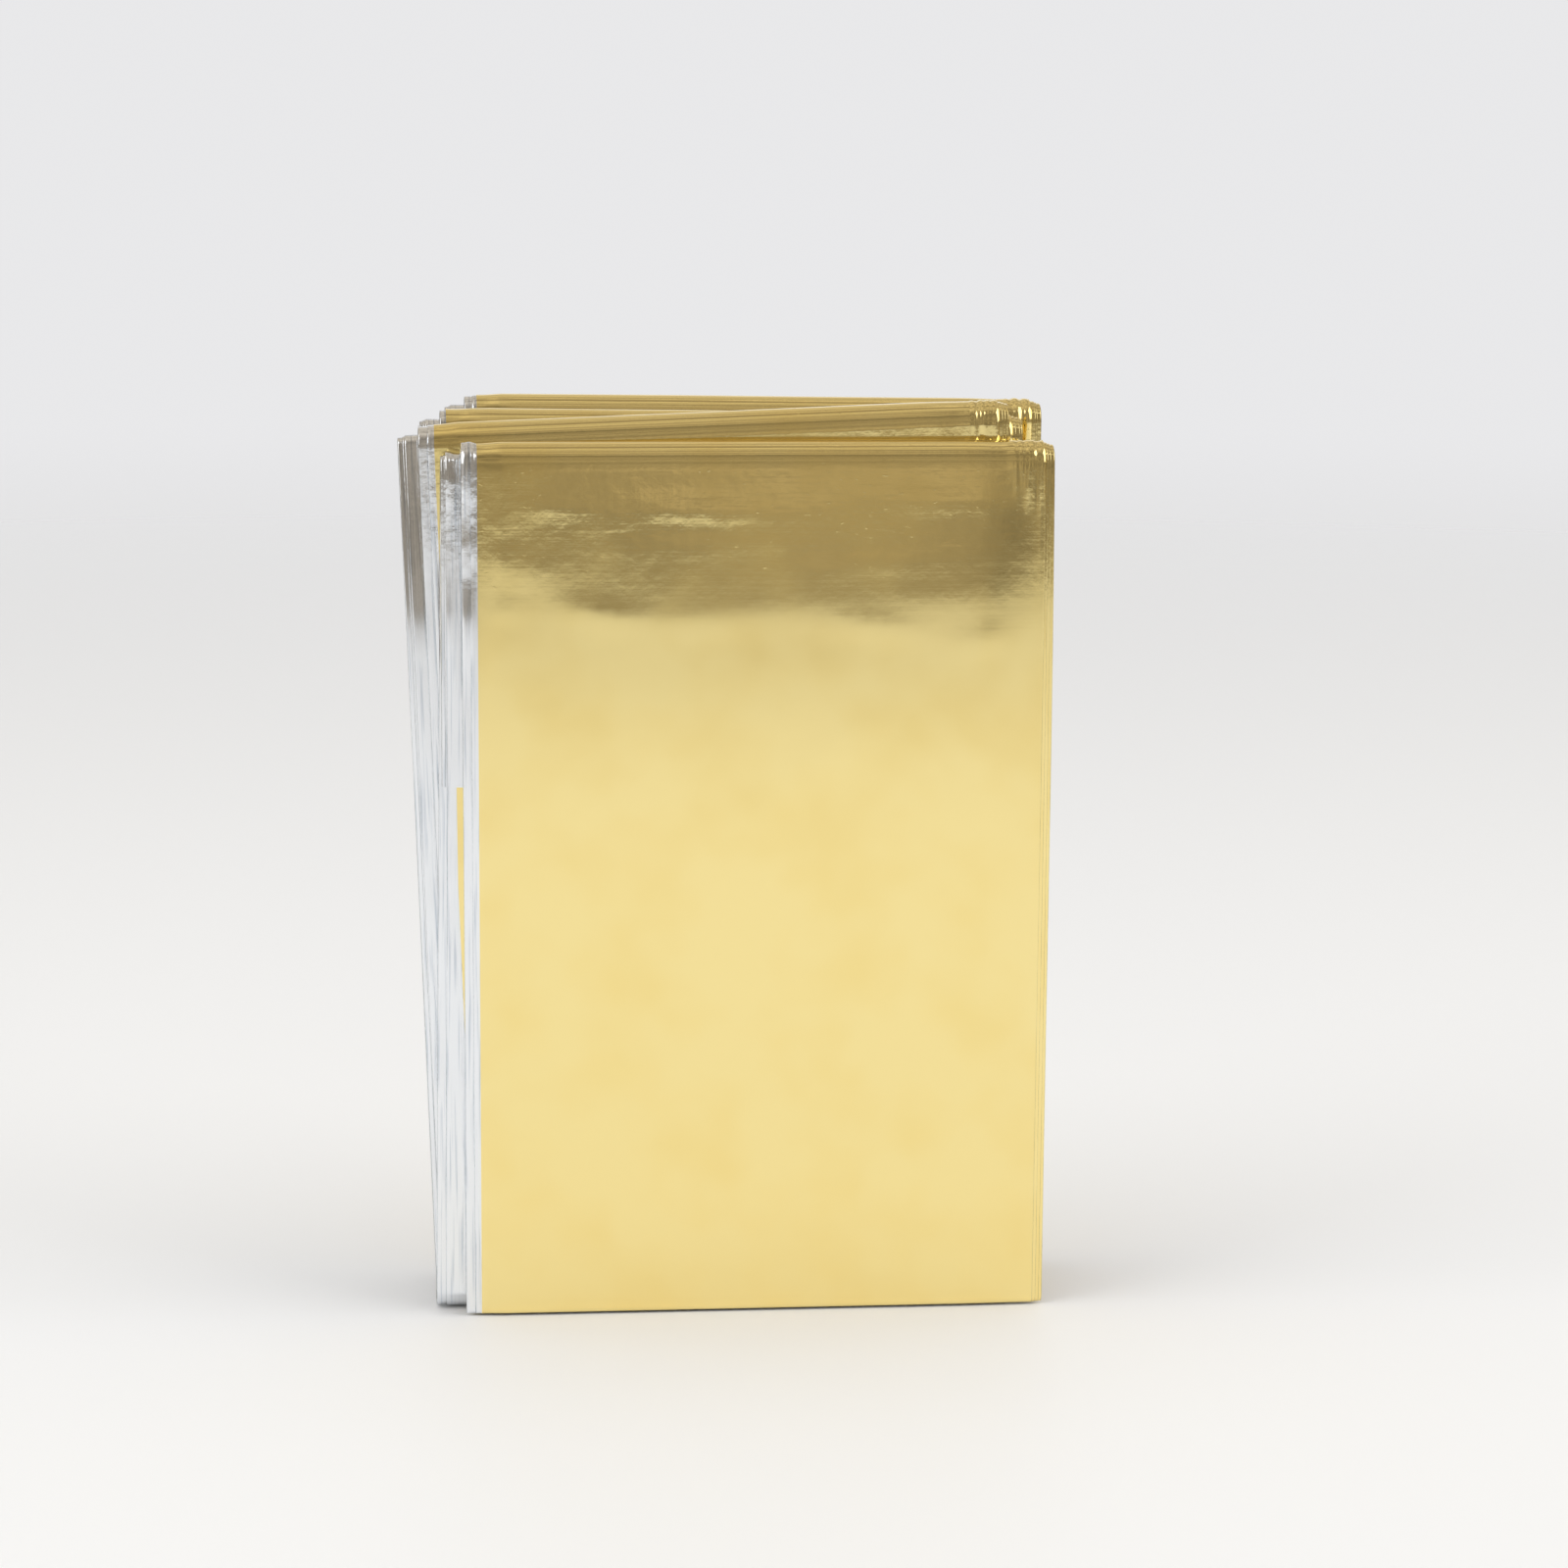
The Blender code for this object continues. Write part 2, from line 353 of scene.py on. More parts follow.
def crease_height(side, height):
    """Sum of the soft creases at a place on the front, in metres."""
    total = 0.0
    for crease in CREASES:
        across = side / MM - crease["x"]
        up = height / MM - crease["z"]
        turn = math.radians(crease["turn"])
        along = (across * math.cos(turn) + up * math.sin(turn)) / crease["long"]
        athwart = (up * math.cos(turn) - across * math.sin(turn)) / crease["wide"]
        total += crease["height"] * MM * math.exp(-along**2 - athwart**2)
    return total


# %% [markdown]
# ## Uneven film
# Between the creases the film is a little wavy. On the front the waves are long and level in the upper part
# and faint below. At the right ends of the top folds the film is crushed into upright flutes. Each of these
# is a height above the smooth film, made from smooth noise and faded in and out with smooth steps.

# %% Waves and flutes
# The lengths of each kind of wave, to the side and along or up, in metres, and a seed that sets it apart
WAVES = {
    "coarse": (0.034, 0.0095, 1.3),
    "fine": (0.016, 0.0042, 4.1),
    "faint": (0.045, 0.04, 7.7),
    "panel": (0.03, 0.02, 3.3),
    "rib": (0.0007, 0.012, 2.9),
    "broad rib": (0.0016, 0.010, 5.3),
    "pillar": (0.0011, 0.012, 2.3),
}
WAVE_FROM, WAVE_FULL = 111 * MM, 124 * MM
WAVE_HEIGHT = 0.055 * MM
COARSE_SHARE, FINE_SHARE = 0.7, 0.3
FAINT_HEIGHT = 0.028 * MM
FAINT_LOSS_AT_THE_TOP = 0.5
FLUTE_REACH = 8 * MM
FLUTE_FULL_REACH = 0.45 * FLUTE_REACH
FLUTE_HEIGHT = 0.36 * MM
FLUTE_BASE = 0.45
BROAD_RIB_SHARE = 0.4


def wave(kind, side, along, number=1):
    """Smooth noise, nearly from -1 to 1. The number tells apart the runs or films that share one kind."""
    side_length, along_length, seed = WAVES[kind]
    return noise.noise(Vector((side / side_length, along / along_length, seed * number)))


def smooth_step(low, high, value):
    share = min(1.0, max(0.0, (value - low) / (high - low)))
    return share * share * (3 - 2 * share)


def level_waves(side, height):
    """Long level waves, strongest near the top of the front."""
    strength = smooth_step(WAVE_FROM, WAVE_FULL, height)
    upper = COARSE_SHARE * wave("coarse", side, height) + FINE_SHARE * wave("fine", side, height)
    faint = (1 - FAINT_LOSS_AT_THE_TOP * strength) * wave("faint", side, height)
    return WAVE_HEIGHT * strength * upper + FAINT_HEIGHT * faint


def flutes(side, along, closeness):
    """Upright flutes of crushed film near the right end of a top fold. They only stand out."""
    near_end = smooth_step(FILM_WIDTH - FLUTE_REACH, FILM_WIDTH - FLUTE_FULL_REACH, side)
    if near_end * closeness == 0:
        return 0.0
    ribs = wave("rib", side, along) + BROAD_RIB_SHARE * wave("broad rib", side, along)
    return max(0.0, FLUTE_HEIGHT * near_end * closeness * (FLUTE_BASE + ribs))


# %% [markdown]
# ## Relief of the outermost film
# Creases, waves and flutes add up to one height. It fades out at the edges, at the foot and on the fold
# itself, where the film is held. A layer of air under the film leaves room for the dips, so that it doesn't
# sink into the film below.

# %% Relief of the outermost film
AIR_UNDER_FIRST_FILM = 0.26 * MM
LEAST_AIR = 0.04 * MM
PANEL_WAVE_HEIGHT = 0.05 * MM
LEFT_RAMP, RIGHT_RAMP, FOOT_RAMP, END_RAMP = 4 * MM, 12 * MM, 3 * MM, 0.4 * MM
SMOOTH_FROM_SHARE = 0.985
FLUTES_END_BELOW_CREST, FLUTES_FULL_BELOW_CREST = 11 * MM, 2 * MM


def first_film_relief(station, side, height, along):
    """Height of the outermost film above its smooth place."""
    right_edge = FILM_WIDTH - STEPS_AT_THE_RIGHT[0] * MM
    from_left = smooth_step(0, LEFT_RAMP, side - FIRST_FILM_SHORT_BY)
    from_edges = from_left * smooth_step(0, RIGHT_RAMP, right_edge - side)
    relief = 0.0
    if station.run == 0:
        below_fold = 1 - smooth_step(SMOOTH_FROM_SHARE, 1.0, station.share)
        from_ends = smooth_step(0, FOOT_RAMP, height) * below_fold
        relief = from_ends * (crease_height(side, height) + level_waves(side, height))
    elif station.half == "outer":
        relief = PANEL_WAVE_HEIGHT * wave("panel", side, along, station.run)
    relief = max(from_edges * (AIR_UNDER_FIRST_FILM + relief), 0.0)
    if station.half == "outer":
        crest = RIDGES[station.ridge]["left_crest"] * MM
        at_the_end = smooth_step(0, END_RAMP, right_edge - side)
        closeness = smooth_step(crest - FLUTES_END_BELOW_CREST, crest - FLUTES_FULL_BELOW_CREST, height)
        relief += at_the_end * flutes(side, along, closeness)
    return max(relief, LEAST_AIR * from_edges)


# %% [markdown]
# ## Crushed silver margin
# At the left the silver side shows as a margin, and there the upper part of the packet has been squeezed. The
# films buckle into upright pillars, and a level break runs across them where they bent. A small table gives
# the breaks, in millimetres: their height above the floor, how tall they are and how far they stand out.

# %% Margin relief
MARGIN_REACH = 2.7 * MM
MARGIN_FULL_REACH = 0.55 * MARGIN_REACH
PILLARS_FROM, PILLARS_FULL = 104 * MM, 122 * MM
PILLAR_HEIGHT = 0.22 * MM
PILLAR_BASE = 0.3
# The breaks sway up and down by this many millimetres, over this width
SWAY, SWAY_LENGTH = 1.2, 1.6 * MM
BREAKS = (
    {"z": 131.0, "tall": 8.0, "height": 0.40},
    {"z": 118.8, "tall": 0.9, "height": 0.15},
    {"z": 116.6, "tall": 1.2, "height": 0.10},
    {"z": 126.5, "tall": 1.5, "height": 0.10},
    {"z": 106.0, "tall": 6.0, "height": 0.30},
)


def margin_relief(side, height, layer):
    """How far a film's silver margin stands out of its smooth place."""
    near_left = 1 - smooth_step(MARGIN_FULL_REACH, MARGIN_REACH, side)
    if near_left == 0:
        return 0.0
    pillars = max(0.0, PILLAR_BASE + wave("pillar", side, height, layer))
    relief = PILLAR_HEIGHT * smooth_step(PILLARS_FROM, PILLARS_FULL, height) * pillars
    for row in BREAKS:
        sway = SWAY * noise.noise(Vector((side / SWAY_LENGTH, row["z"], layer)))
        off = (height / MM - row["z"] - sway) / row["tall"]
        relief += row["height"] * MM * math.exp(-off**2)
    return near_left * relief


# %% [markdown]
# ## Bowed layers and a curled end
# Folded film is springy, so the layers bow outwards. The front bows most, at about two thirds of its height,
# and leans back from there to its fold, where it mirrors the dim room and not the floor. Beside its right
# edge it bows less. The cut end at the front foot stays just above the floor and curls inwards.

# %% Bow and curl
DEPTH_MIDDLE = RUNS_OF_A_HALF * LAYER_PITCH
REAR_SWELL = 0.45 * MM
FRONT_SWELL = 1.8 * MM
FRONT_SWELL_PEAK = 0.69
FADING_INWARDS = 4
SWELL_MIDDLE = 0.20
SWELL_SPAN = 2.2
RIGHT_FOLD_HOLDS = 0.25
HOLDS_FROM, HOLDS_FULLY_FROM = 0.38, 0.49
FRONT_END_LIFT = 0.4 * MM
CURL_HEIGHT = 1.1 * MM
CURL_DEPTH = 0.45 * MM


def swell(station, across):
    """How far a layer is bowed to the rear, or to the front where the result is below zero."""
    from_middle = station.depth / DEPTH_MIDDLE - 1
    level_bow = math.cos(math.pi * (across - SWELL_MIDDLE) / SWELL_SPAN)
    level_bow *= 1 - RIGHT_FOLD_HOLDS * smooth_step(HOLDS_FROM, HOLDS_FULLY_FROM, across)
    if from_middle > 0:
        return REAR_SWELL * from_middle * math.sin(math.pi * station.share) * level_bow
    peak_power = math.log(0.5) / math.log(FRONT_SWELL_PEAK)
    upright_bow = math.sin(math.pi * station.share**peak_power)
    return -FRONT_SWELL * from_middle**FADING_INWARDS * upright_bow * level_bow


def foot_curl(station, height):
    """How far the cut end at the front foot curls inwards, which draws a thin line under the front."""
    if station.run > 0 or station.half != "outer":
        return 0.0
    return CURL_DEPTH * max(0.0, 1 - (height - FRONT_END_LIFT) / CURL_HEIGHT) ** 2


# %% [markdown]
# ## Folding the sheet
# The sheet starts as a flat grid, made with create_grid. Every vertex is then carried to its place: its row
# gives the station and its column gives the film. Cloth simulation could not press 280 panels of thin film
# into so small a packet, so the folds are worked out instead, as a folding machine sets them.

# %% From the flat grid to the folded packet
FILMS_MIDDLE = (FILMS - 1) / 2


def along_the_strip():
    """Length along the flat sheet of each row, from the front foot."""
    lengths = [0.0]
    for before, after in zip(ROUTE[:-1], ROUTE[1:]):
        climb = (after.share - before.share) * RUN_LENGTH
        lengths.append(lengths[-1] + math.hypot(climb, after.rise - before.rise, after.depth - before.depth))
    stretch = SHEET_LENGTH / lengths[-1]
    return [length * stretch for length in lengths]


ALONG = along_the_strip()


def foot_height(foot):
    if foot == 0:
        return FRONT_END_LIFT
    return DOUBLING_LINE if foot == len(FEET) - 1 else FOOT_LINE


def folded_place(column, row):
    """The place of one point of the sheet in the packet."""
    station, along = ROUTE[row], ALONG[row]
    side, layer = film_place(column, along)
    ridge = RIDGES[station.ridge]
    across = side / FILM_WIDTH - 0.5
    crest = blend(ridge["left_crest"], ridge["right_crest"], across + 0.5) * MM
    height = blend(foot_height(station.foot), crest - CREST_ABOVE_LINE, station.share) + station.rise
    doubling_share = (row - DOUBLING_ROWS[0] + 1) / (len(DOUBLING_ROWS) + 1)
    askew = {"outer": 0.0, "inner": 1.0, "doubling": doubling_share}[station.half]
    sideways = blend(FEET[station.foot]["side"], ridge["side"], station.share) * MM
    lean = ridge["rear"] * MM * station.share**2 + foot_curl(station, height)
    out = (FILMS_MIDDLE - layer) * FILM_PITCH
    if column < 1:
        out += first_film_relief(station, side, height, along)
    elif station.run == 0 and round(layer) in MARGIN_FILMS:
        out += OUTWARDS[station.half] * margin_relief(side, height, round(layer))
    return Vector((
        STRIP_MIDDLE + across * FILM_WIDTH + sideways + askew * INNER_HALF_SHIFT,
        station.depth - DEPTH_MIDDLE + lean + swell(station, across) + station.gold_side[0] * out,
        max(height + station.gold_side[1] * out, FILM_THICKNESS),
    ))


def fold_sheet():
    """Makes the folded sheet, with the place of each point on the flat sheet as its UV map."""
    rows, columns = len(ROUTE) - 1, len(COLUMNS) - 1
    sheet = bmesh.new()
    flat = sheet.loops.layers.uv.new("flat_sheet")
    bmesh.ops.create_grid(sheet, x_segments=columns, y_segments=rows, size=0.5)
    cells = {}
    for vertex in sheet.verts:
        cells[vertex] = (round((vertex.co.x + 0.5) * columns), round((vertex.co.y + 0.5) * rows))
    for face in sheet.faces:
        for loop in face.loops:
            column, row = cells[loop.vert]
            loop[flat].uv = (COLUMNS[column] * FILM_WIDTH, ALONG[row])
    for vertex, (column, row) in cells.items():
        vertex.co = folded_place(COLUMNS[column], row)
    for edge in sheet.edges:
        edge.smooth = not edge.is_boundary
    mesh = bpy.data.meshes.new("foil_sheet")
    sheet.to_mesh(mesh)
    sheet.free()
    return mesh


foil = bpy.data.objects.new("foil_sheet", fold_sheet())
bpy.context.scene.collection.objects.link(foil)
for polygon in foil.data.polygons:
    polygon.use_smooth = True
print(f"folded sheet of {len(foil.data.polygons)} quads")

# %% [markdown]
# ## The film's thickness
# Real film is 0.012 mm thick. Solidify gives the sheet a gold skin, a silver skin and a rim, and its
# material offset puts the second material on the silver side. A material that asks which side it is seen from
# would look the same here, but two skins stay right wherever the mesh is used.

# %% Thickness
thickness = foil.modifiers.new("film_thickness", "SOLIDIFY")
thickness.thickness = FILM_THICKNESS
thickness.offset = -1.0
thickness.use_even_offset = False
thickness.material_offset = 1
thickness.material_offset_rim = 1

# %% [markdown]
# ## Fine crinkles that both sides share
# Thin film carries a fine crinkle wherever it was handled. A node group makes it once: long streaks along the
# folds, small dents and specks, a mask that is strong only in patches, and a mask of fine upright lines where
# the silver side gets painted shade. Each side then uses it with its own strength.

# %% Crinkle group
# Each kind is one noise, stretched and scaled. Between "from" and "to" it rises to the height of that kind.
CRINKLE_KINDS = (
    {"name": "Level streaks", "stretch": (0.035, 1.0, 1.0), "scale": 1500.0, "from": 0.0, "to": 1.0},
    {"name": "Upright streaks", "stretch": (1.0, 0.025, 1.0), "scale": 2300.0, "from": 0.0, "to": 1.0},
    {"name": "Dents", "stretch": (1.0, 1.0, 1.0), "scale": 420.0, "from": 0.35, "to": 0.85},
    {"name": "Specks", "stretch": (0.6, 1.0, 1.0), "scale": 1500.0, "from": 0.66, "to": 0.80},
)
PATCH_SCALE = 60.0
PATCHES_FROM, PATCHES_FULL = 0.42, 0.68
# Where the upright streaks turn into the lines of painted shade on the silver side
LINES_FROM, LINES_FULL = 0.52, 0.70


def new_group(name, inputs, outputs):
    """Makes a shader node group with named sockets: inputs are (name, default) pairs."""
    group = bpy.data.node_groups.new(name, "ShaderNodeTree")
    group.interface.new_socket("Place", in_out="INPUT", socket_type="NodeSocketVector")
    for label, default in inputs:
        socket = group.interface.new_socket(label, in_out="INPUT", socket_type="NodeSocketFloat")
        socket.default_value = default
    for label in outputs:
        group.interface.new_socket(label, in_out="OUTPUT", socket_type="NodeSocketFloat")
    return group


def add_node(tree, kind, values=None, **settings):
    node = tree.nodes.new(kind)
    for name, value in settings.items():
        setattr(node, name, value)
    for name, value in (values or {}).items():
        node.inputs[name].default_value = value
    return node


def crinkle_group():
    """Height of the film's fine unevenness in micrometres, with masks of its patches and of painted shade
    lines.
    """
    strengths = [(kind["name"], 1.0) for kind in CRINKLE_KINDS]
    group = new_group("film_crinkle", strengths, ("Height", "Patches", "Painted shade lines"))
    link = group.links.new
    entry = add_node(group, "NodeGroupInput")
    leave = add_node(group, "NodeGroupOutput")
    patches = add_node(group, "ShaderNodeTexNoise", {"Scale": PATCH_SCALE, "Detail": 2.0})
    handled = add_node(group, "ShaderNodeMapRange", {"From Min": PATCHES_FROM, "From Max": PATCHES_FULL})
    link(entry.outputs["Place"], patches.inputs["Vector"])
    link(patches.outputs["Fac"], handled.inputs["Value"])
    link(handled.outputs["Result"], leave.inputs["Patches"])
    total = None
    for kind in CRINKLE_KINDS:
        stretch = add_node(group, "ShaderNodeMapping", {"Scale": kind["stretch"]})
        pattern = add_node(group, "ShaderNodeTexNoise", {"Scale": kind["scale"], "Detail": 3.0})
        part = add_node(group, "ShaderNodeMapRange", {"From Min": kind["from"], "From Max": kind["to"]})
        link(entry.outputs["Place"], stretch.inputs["Vector"])
        link(stretch.outputs["Vector"], pattern.inputs["Vector"])
        link(pattern.outputs["Fac"], part.inputs["Value"])
        if kind["name"] == "Specks":
            inside = add_node(group, "ShaderNodeMath", operation="MULTIPLY")
            link(entry.outputs[kind["name"]], inside.inputs[0])
            link(handled.outputs["Result"], inside.inputs[1])
            link(inside.outputs["Value"], part.inputs["To Max"])
        else:
            link(entry.outputs[kind["name"]], part.inputs["To Max"])
        if kind["name"] == "Upright streaks":
            # The upright streaks also give the mask of fine lines, where the silver side is painted darker as
            # painted shade
            lines = add_node(group, "ShaderNodeMapRange", {"From Min": LINES_FROM, "From Max": LINES_FULL})
            link(pattern.outputs["Fac"], lines.inputs["Value"])
            link(lines.outputs["Result"], leave.inputs["Painted shade lines"])
        if total is None:
            total = part.outputs["Result"]
            continue
        added = add_node(group, "ShaderNodeMath", operation="ADD")
        link(total, added.inputs[0])
        link(part.outputs["Result"], added.inputs[1])
        total = added.outputs["Value"]
    link(total, leave.inputs["Height"])
    return group


CRINKLE = crinkle_group()
print(f"crinkle group of {len(CRINKLE.nodes)} nodes")

# %% [markdown]
# ## Gold side and silver side
# Both sides are the same thin metal layer, seen through tinted or clear film. A metallic Principled shader
# with low roughness makes it mirror the room. The crinkle group feeds a Bump node, and its patches also
# roughen the film a little, so that the gloss is never even.
# Along fine upright lines the silver side is painted a darker, bluer silver: painted shade for the dim things
# that its creases mirror.

# %% Film materials
GOLD = (0.99, 0.82, 0.365, 1.0)
DEEP_GOLD = (0.98, 0.79, 0.325, 1.0)
SILVER = (0.905, 0.93, 0.96, 1.0)
# Darker, bluer silver along fine upright lines: painted shade for the dim things that the film's creases
# mirror
CREASE_SHADE_SILVER = (0.63, 0.68, 0.745, 1.0)
GOLD_ROUGHNESS, SILVER_ROUGHNESS = 0.09, 0.12
ROUGHER_IN_PATCHES = 1.7
MICROMETRE = 0.000001
CALM_BELOW, CRUMPLED_ABOVE = 109 * MM, 124 * MM
# How high each kind of crinkle stands, in micrometres: on the calm lower part, and near the top folds
GOLD_CRINKLES = {"Level streaks": (1.0, 6.5), "Upright streaks": (0.6, 3.0), "Dents": (2.0, 14.0),
                 "Specks": (0.0, 20.0)}
SILVER_CRINKLES = {"Level streaks": (0.0, 8.0), "Upright streaks": (40.0, 70.0), "Dents": (0.0, 40.0),
                   "Specks": (0.0, 20.0)}


def film_material(name, main_tint, second_tint, second_where, roughness, crinkles):
    """A mirror-like film, more crinkled near the top folds. The second tint shows where the named mask is."""
    material = bpy.data.materials.new(name)
    material.use_nodes = True
    tree = material.node_tree
    link = tree.links.new
    shader = tree.nodes["Principled BSDF"]
    shader.inputs["Metallic"].default_value = 1.0
    flat_place = add_node(tree, "ShaderNodeUVMap", uv_map="flat_sheet")
    place = add_node(tree, "ShaderNodeTexCoord")
    split = add_node(tree, "ShaderNodeSeparateXYZ")
    crinkle = add_node(tree, "ShaderNodeGroup", node_tree=CRINKLE)
    bump = add_node(tree, "ShaderNodeBump", {"Strength": 1.0, "Distance": MICROMETRE})
    roughest = roughness * ROUGHER_IN_PATCHES
    rough = add_node(tree, "ShaderNodeMapRange", {"To Min": roughness, "To Max": roughest})
    tint = add_node(tree, "ShaderNodeMix", data_type="RGBA")
    tint.inputs["A"].default_value = main_tint
    tint.inputs["B"].default_value = second_tint
    link(flat_place.outputs["UV"], crinkle.inputs["Place"])
    link(place.outputs["Object"], split.inputs["Vector"])
    for kind, (calm, crumpled) in crinkles.items():
        strength = add_node(tree, "ShaderNodeMapRange", {"From Min": CALM_BELOW, "From Max": CRUMPLED_ABOVE,
                                                         "To Min": calm, "To Max": crumpled})
        link(split.outputs["Z"], strength.inputs["Value"])
        link(strength.outputs["Result"], crinkle.inputs[kind])
    link(crinkle.outputs["Height"], bump.inputs["Height"])
    link(bump.outputs["Normal"], shader.inputs["Normal"])
    link(crinkle.outputs["Patches"], rough.inputs["Value"])
    link(rough.outputs["Result"], shader.inputs["Roughness"])
    link(crinkle.outputs[second_where], tint.inputs["Factor"])
    link(tint.outputs["Result"], shader.inputs["Base Color"])
    return material


gold_film = film_material("gold_film", GOLD, DEEP_GOLD, "Patches", GOLD_ROUGHNESS, GOLD_CRINKLES)
# On the silver side the second tint is painted shade along the fine upright lines
silver_film = film_material("silver_film", SILVER, CREASE_SHADE_SILVER, "Painted shade lines", SILVER_ROUGHNESS, SILVER_CRINKLES)
foil.data.materials.append(gold_film)
foil.data.materials.append(silver_film)
print("finishes:", [material.name for material in foil.data.materials])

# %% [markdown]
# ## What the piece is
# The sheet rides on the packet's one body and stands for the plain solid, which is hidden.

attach(foil, "root")
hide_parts(NODE)

# %% [markdown]
# ## Floor
# The packet stands on a plain pale floor. Gold film mirrors what lies in front of it, so the floor also makes
# the creamy lower part of the front. The camera sees it melt into the wall within 1.6 m. Mirrored rays see it
# until nearly 2 m, a little dimmer further out. Past it they see the dim room, which makes the brown upper
# part of the front.

# %% Floor
FLOOR_RADIUS, FLOOR_SIDES = 4.0, 96
FLOOR_ROUGHNESS = 0.55
FLOOR_COLOR = (0.87, 0.862, 0.85, 1.0)
# Distances in metres at which the floor is still full and at which it is gone. For mirrored rays both are
# shorter sideways, by the narrowing.
SEEN_FULL, SEEN_GONE = 0.25, 1.6
MIRRORED_FULL, MIRRORED_GONE = 1.74, 1.95
MIRRORED_NARROWING = 1.3
# Mirrored rays see it dim to this share between these two distances
DIMS_FROM, DIMS_UNTIL, DIMMED = 0.30, 0.80, 0.88


def pale_floor():
    disc = bmesh.new()
    bmesh.ops.create_circle(disc, cap_ends=True, segments=FLOOR_SIDES, radius=FLOOR_RADIUS)
    mesh = bpy.data.meshes.new("floor")
    disc.to_mesh(mesh)
    disc.free()
    floor = bpy.data.objects.new("floor", mesh)
    bpy.context.scene.collection.objects.link(floor)
    material = bpy.data.materials.new("pale_floor")
    material.use_nodes = True
    tree = material.node_tree
    link = tree.links.new
    shader = tree.nodes["Principled BSDF"]
    shader.inputs["Base Color"].default_value = FLOOR_COLOR
    shader.inputs["Roughness"].default_value = FLOOR_ROUGHNESS
    place = add_node(tree, "ShaderNodeTexCoord")
    ray = add_node(tree, "ShaderNodeLightPath")

    def distance(narrowing):
        oval = add_node(tree, "ShaderNodeMapping", {"Scale": (narrowing, 1.0, 1.0)})
        length = add_node(tree, "ShaderNodeVectorMath", operation="LENGTH")
        link(place.outputs["Object"], oval.inputs["Vector"])
        link(oval.outputs["Vector"], length.inputs[0])
        return length.outputs["Value"]

    def fade(away, full, gone, least):
        """Falls from 1 to the least value between two distances."""
        ranges = {"From Min": full, "From Max": gone, "To Min": 1.0, "To Max": least}
        falling = add_node(tree, "ShaderNodeMapRange", ranges, interpolation_type="SMOOTHSTEP")
        link(away, falling.inputs["Value"])
        return falling

    seen = fade(distance(1.0), SEEN_FULL, SEEN_GONE, 0.0)
    mirrored_distance = distance(MIRRORED_NARROWING)
    mirrored = fade(mirrored_distance, MIRRORED_FULL, MIRRORED_GONE, 0.0)
    dim = fade(mirrored_distance, DIMS_FROM, DIMS_UNTIL, DIMMED)
    choose = add_node(tree, "ShaderNodeMix", data_type="FLOAT")
    link(dim.outputs["Result"], mirrored.inputs["To Min"])
    link(ray.outputs["Is Glossy Ray"], choose.inputs["Factor"])
    link(seen.outputs["Result"], choose.inputs["A"])
    link(mirrored.outputs["Result"], choose.inputs["B"])
    link(choose.outputs["Result"], shader.inputs["Alpha"])
    mesh.materials.append(material)


pale_floor()
print(f"floor of {2 * FLOOR_RADIUS:.0f} m across")

# %% [markdown]
# ## Studio light
# Large soft lights above and at both sides light the packet evenly. Mirrored rays see the two at the sides,
# but not the one above, which would whiten every part that leans back.

# %% Lights
LIGHTS = (
    {"name": "top_light", "place": (0.0, -0.2, 1.5), "size": (2.2, 1.8), "power": 8.7, "mirrored": False},
    {"name": "left_light", "place": (-1.3, -0.5, 0.9), "size": (1.2, 1.4), "power": 9.0, "mirrored": True},
    {"name": "right_light", "place": (1.3, -0.5, 0.9), "size": (1.2, 1.4), "power": 9.0, "mirrored": True},
)
AIM = Vector((0.0, 0.0, 0.06))


def soft_light(name, place, size, power, mirrored):
    data = bpy.data.lights.new(name, "AREA")
    data.shape = "RECTANGLE"
    data.size, data.size_y = size
    data.energy = power
    lamp = bpy.data.objects.new(name, data)
    lamp.location = place
    lamp.rotation_euler = (Vector(place) - AIM).to_track_quat("Z", "Y").to_euler()
    lamp.visible_glossy = mirrored
    bpy.context.scene.collection.objects.link(lamp)


for row in LIGHTS:
    soft_light(**row)
print(f"{len(LIGHTS)} lights")

# %% [markdown]
# ## World
# The world shows the camera a pale wall, while mirrored rays see a warm dim room, as in a studio where only
# the table is lit. The room has soft level bands, is lighter overhead and uneven round about, and has a pale
# backdrop behind the packet. It is made with noise on the direction of the ray.

# %% World
WALL = (0.812, 0.811, 0.822, 1.0)
FILL = (0.56, 0.565, 0.57, 1.0)
ROOM = {
    "low dark": (0.205, 0.18, 0.145, 1.0),
    "low light": (0.46, 0.395, 0.315, 1.0),
    "high dark": (0.42, 0.36, 0.29, 1.0),
    "high light": (0.78, 0.69, 0.56, 1.0),
    "backdrop": (0.88, 0.86, 0.84, 1.0),
}
CLOUD = {"Scale": 1.6, "Detail": 3.0, "Roughness": 0.55}
BANDS = {"stretch": (1.3, 3.0, 24.0), "low": 0.42, "high": 0.60}
UNEVENNESS = {"stretch": (2.4, 2.4, 1.2), "low": 0.40, "high": 0.62, "to_low": 0.72, "to_high": 1.12}
OVERHEAD = {"weights": (0.0, 0.7, 1.0), "start": 0.45, "end": 0.90}
BEHIND = {"weights": (0.0, 1.0, 0.0), "start": 0.82, "end": 0.93}


